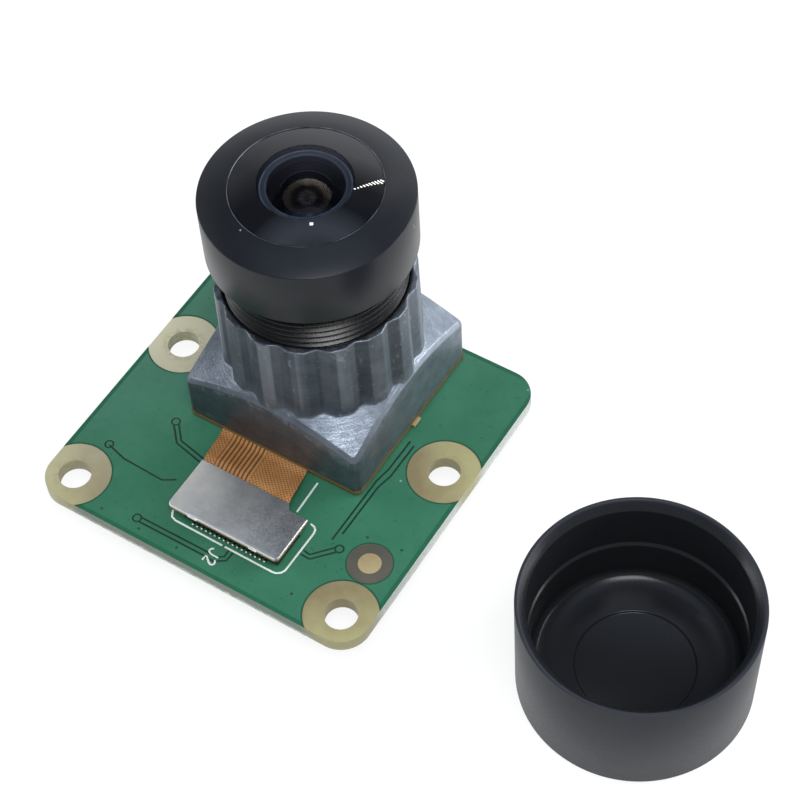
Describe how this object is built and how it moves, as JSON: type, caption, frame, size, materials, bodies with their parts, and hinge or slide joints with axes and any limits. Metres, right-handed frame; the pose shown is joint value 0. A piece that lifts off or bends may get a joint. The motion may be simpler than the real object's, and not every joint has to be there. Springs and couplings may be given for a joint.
{
  "type": "camera module",
  "caption": "Small board camera with a wide-angle screw lens in a fluted die-cast holder, a ribbon cable connector underneath and its lens cap beside it.",
  "frame": {"origin": "centre of the four mounting holes, on the underside of the circuit board", "axes": "+Z out of the board along the lens axis, +Y along the board towards its ribbon cable edge, +X across the board"},
  "size_m": [0.0477, 0.0238, 0.0245],
  "materials": {
    "solder_mask": "green solder mask over laminate, satin",
    "foam_tape": "black adhesive foam",
    "flex_film": "amber polyimide film over copper",
    "steel_plate": "dull stainless steel",
    "connector_black": "black moulded plastic",
    "connector_white": "ivory moulded plastic",
    "latch_brown": "dark brown moulded plastic",
    "gold_contact": "gold plated",
    "tin_contact": "bright tin plate",
    "cast_metal": "dark blasted die casting with worn edges",
    "black_anodised": "satin black anodised",
    "spacer_black": "matt black anodised",
    "lens_glass": "coated optical glass",
    "filter_glass": "blue-green absorbing glass",
    "silicon": "polished silicon with a colour filter array",
    "ceramic_tan": "fired ceramic",
    "ceramic_black": "fired ceramic with a black top",
    "ceramic_grey": "ferrite grey",
    "package_black": "moulded package",
    "lid_metal": "plated lid",
    "cap_plastic": "black moulded plastic, satin outside and glossy inside"
  },
  "bodies": {
    "board": {"circuit_board": "solder_mask", "adhesive_pad": "foam_tape", "sensor_flex": "flex_film", "plug_stiffener": "steel_plate", "socket_housing": "connector_black", "plug_housing": "connector_black", "socket_contacts": "gold_contact", "plug_contacts": "gold_contact", "sensor_die": "silicon", "sensor_capacitors": "ceramic_tan", "lens_holder": "cast_metal", "ir_filter": "filter_glass", "ribbon_socket": "connector_white", "ribbon_contacts": "tin_contact", "ribbon_anchors": "tin_contact", "regulator_bodies": "package_black", "regulator_legs": "tin_contact", "oscillator_base": "ceramic_tan", "oscillator_lid": "lid_metal", "memory_chip": "package_black", "capacitor_bodies": "ceramic_tan", "capacitor_ends": "tin_contact", "resistor_bodies": "ceramic_black", "resistor_ends": "tin_contact", "bead_bodies": "ceramic_grey", "bead_ends": "tin_contact", "lens_cap": "cap_plastic"},
    "lens": {"lens_barrel": "black_anodised", "front_ring": "black_anodised", "front_element": "lens_glass", "front_spacer": "spacer_black", "second_element": "lens_glass", "middle_spacer": "spacer_black", "third_element": "lens_glass", "aperture_disc": "spacer_black", "rear_crown_element": "lens_glass", "rear_flint_element": "lens_glass", "rear_retainer": "spacer_black"},
    "latch": {"ribbon_latch": "latch_brown"}
  },
  "joints": [
    {"name": "focus_turn", "type": "hinge", "parent": "board", "child": "lens", "pos_m": [0, 0.00845, 0.012], "axis": [0, 0, 1], "range_deg": [-180, 180]},
    {"name": "latch_slide", "type": "slide", "parent": "board", "child": "latch", "axis": [0, 1, 0], "range_m": [0, 0.0012]}
  ]
}
